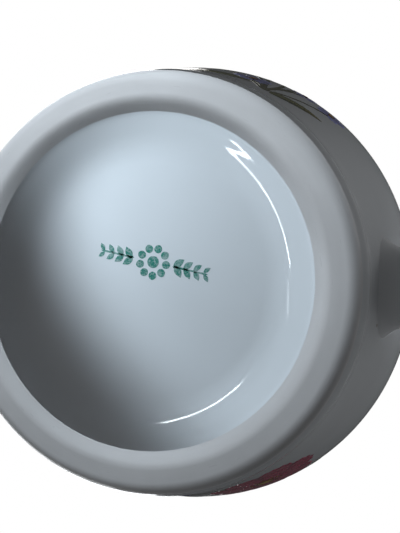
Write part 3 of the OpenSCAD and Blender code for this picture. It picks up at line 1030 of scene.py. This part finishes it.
def floor_finish(stage):
    """Pale floor with a faint mottle, which shows from above only and fades to white far away."""
    f = Finish("pale_floor", Roughness=0.75)
    far = f.span(f.node("VectorMath", {0: f.at}, operation="LENGTH")["Value"], 0.12, 0.7)
    mottle = f.blend(f.noise(9.0, 3.0), tint(stage.floor, 0.98), tint(stage.floor, 1.02))
    f.wet(Base_Color=f.blend(far, mottle, (0.0, 0.0, 0.0)), Emission_Color=(1.0, 1.0, 1.0, 1.0),
          Emission_Strength=f.span(far, 0.0, 1.0, 0.12, 1.0))
    both = f.node("MixShader", {0: f.node("NewGeometry", {})["Backfacing"],
                                1: f.shader.outputs[0], 2: f.node("BsdfTransparent", {})[0]})[0]
    f.put(f.tree.nodes["Material Output"].inputs["Surface"], both)
    return f.material


class MUG_OT_stage(bpy.types.Operator):
    """Set up the floor, the room, the lights and the camera"""

    bl_idname = "mug.stage"
    bl_label = "Stage"

    def execute(self, context):
        scene = context.scene
        stage = scene.mug_stage
        half = stage.floor_wide / 2
        mesh = bpy.data.meshes.new("floor")
        mesh.from_pydata([(-half, -half, 0), (half, -half, 0), (half, half, 0), (-half, half, 0)],
                         [], [(0, 1, 2, 3)])
        mesh.materials.append(floor_finish(stage))
        floor = bpy.data.objects.new("floor", mesh)
        scene.collection.objects.link(floor)
        floor.visible_diffuse = floor.visible_glossy = floor.visible_transmission = False
        floor.visible_shadow = False
        room(stage)
        self.lights_below(stage)
        self.lights_above(stage)
        scene.view_settings.view_transform = "Standard"
        self.camera(scene, stage)
        return {"FINISHED"}

    def lights_below(self, stage):
        """What lights the foot: three lights for gloss, a soft pool and two near lights."""
        foot, cool = (0.0, 0.0, 0.004), (0.86, 0.94, 1.0)
        recess = ("foot_recess_glaze_coat", "base_ornament_print")
        prints = ("crimson_blooms_print", "violet_flowers_print", "flower_centres_print",
                  "leaves_print", "stems_print")
        for name, azimuth, elevation, roll, wide, high, strength in (
                ("window", 158, -41.5, -18, 0.160, 0.011, stage.window),
                ("lamp", -149, -58, 0, 0.090, 0.012, stage.lamp),
                ("glint", -178, -46, 60, 0.050, 0.004, stage.glint)):
            window(name, toward(foot, azimuth, elevation, 0.34, roll), wide, high, strength, cool,
                   *recess, soft=False)
        pool = light("pool", "SPOT", toward((0.014, -0.0052, 0.004), -155, -40, 0.08), stage.pool,
                     (0.78, 0.905, 1.0), *recess, gloss=False)
        pool.spot_size = math.radians(42)
        pool.spot_blend = 0.5
        pool.shadow_soft_size = 0.006
        window("rim", toward(foot, -108, -42, 0.10), 0.06, 0.06, stage.rim, (0.84, 0.93, 1.0),
               "mug_body_turned", gloss=False)
        window("side", toward(foot, -162, -22, 0.12), 0.06, 0.06, stage.side, (0.90, 0.96, 1.0),
               "outside_glaze_coat", *prints, gloss=False)

    def lights_above(self, stage):
        """Large soft lights for the mug as it stands."""
        middle, white = (0.012, 0.0, 0.045), (1.0, 1.0, 1.0)
        for name, azimuth, elevation, away, wide, strength, tone, gloss in (
                ("key", -140, 40, 0.80, 0.55, stage.key, (1.0, 0.985, 0.96), True),
                ("fill", 135, 35, 0.90, 0.60, stage.fill, (0.95, 0.98, 1.0), True),
                ("top", 170, 70, 0.80, 0.70, stage.top, white, True),
                ("front", -5, 50, 0.80, 0.60, stage.front, white, False)):
            window(name, toward(middle, azimuth, elevation, away), wide, wide, strength, tone,
                   gloss=gloss)

    def camera(self, scene, stage):
        """Looks from its stand at its aim with -Y upwards, then rolls about its line of sight."""
        stand, aim = Vector(stage.stand), Vector(stage.aim)
        ahead = (aim - stand).normalized()
        right = ahead.cross(Vector((0, -1, 0))).normalized()
        up = right.cross(ahead)
        c, s = math.cos(stage.roll), math.sin(stage.roll)
        right, up = c * right + s * up, c * up - s * right
        data = bpy.data.cameras.new("camera")
        data.lens = stage.lens
        data.sensor_width = 36.0
        data.clip_start = 0.004
        eye = bpy.data.objects.new("camera", data)
        scene.collection.objects.link(eye)
        turn = Matrix((right, up, -ahead)).transposed().to_4x4()
        eye.matrix_world = Matrix.Translation(stand) @ turn
        scene.camera = eye


PIECES = (MUG_OT_body, MUG_OT_handle_core, MUG_OT_glaze, MUG_OT_handle_glaze, MUG_OT_blooms,
          MUG_OT_violets, MUG_OT_hearts, MUG_OT_leaves, MUG_OT_stems, MUG_OT_ornament,
          MUG_OT_stage)
GROUPS = {"mug_body": MugBodySizes, "mug_handle": MugHandleSizes,
          "mug_transfers": MugTransferSizes, "mug_colours": MugColours, "mug_stage": MugStage}


class MUG_PT_sidebar(bpy.types.Panel):
    """Sizes, colours and steps of the mug"""

    bl_idname = "MUG_PT_sidebar"
    bl_label = "Belly mug"
    bl_space_type = "VIEW_3D"
    bl_region_type = "UI"
    bl_category = "Mug"

    def draw(self, context):
        for step in PIECES:
            self.layout.operator(step.bl_idname)
        for name, group in GROUPS.items():
            box = self.layout.box()
            box.label(text=group.__doc__)
            for key in group.__annotations__:
                box.prop(getattr(context.scene, name), key)


def register():
    """Registers the sizes, the steps and the panel."""
    for name, group in GROUPS.items():
        bpy.utils.register_class(group)
        setattr(bpy.types.Scene, name, PointerProperty(type=group))
    for step in PIECES:
        bpy.utils.register_class(step)
    bpy.utils.register_class(MUG_PT_sidebar)


def unregister():
    """Takes back what register() did."""
    bpy.utils.unregister_class(MUG_PT_sidebar)
    for step in reversed(PIECES):
        bpy.utils.unregister_class(step)
    for name, group in reversed(GROUPS.items()):
        delattr(bpy.types.Scene, name)
        bpy.utils.unregister_class(group)


def main():
    """Builds the whole mug and its stage."""
    register()
    bpy.ops.mug.body()
    bpy.ops.mug.handle_core()
    bpy.ops.mug.glaze()
    bpy.ops.mug.handle_glaze()
    bpy.ops.mug.blooms()
    bpy.ops.mug.violets()
    bpy.ops.mug.hearts()
    bpy.ops.mug.leaves()
    bpy.ops.mug.stems()
    bpy.ops.mug.ornament()
    bpy.ops.mug.stage()


if __name__ == "__main__":
    main()
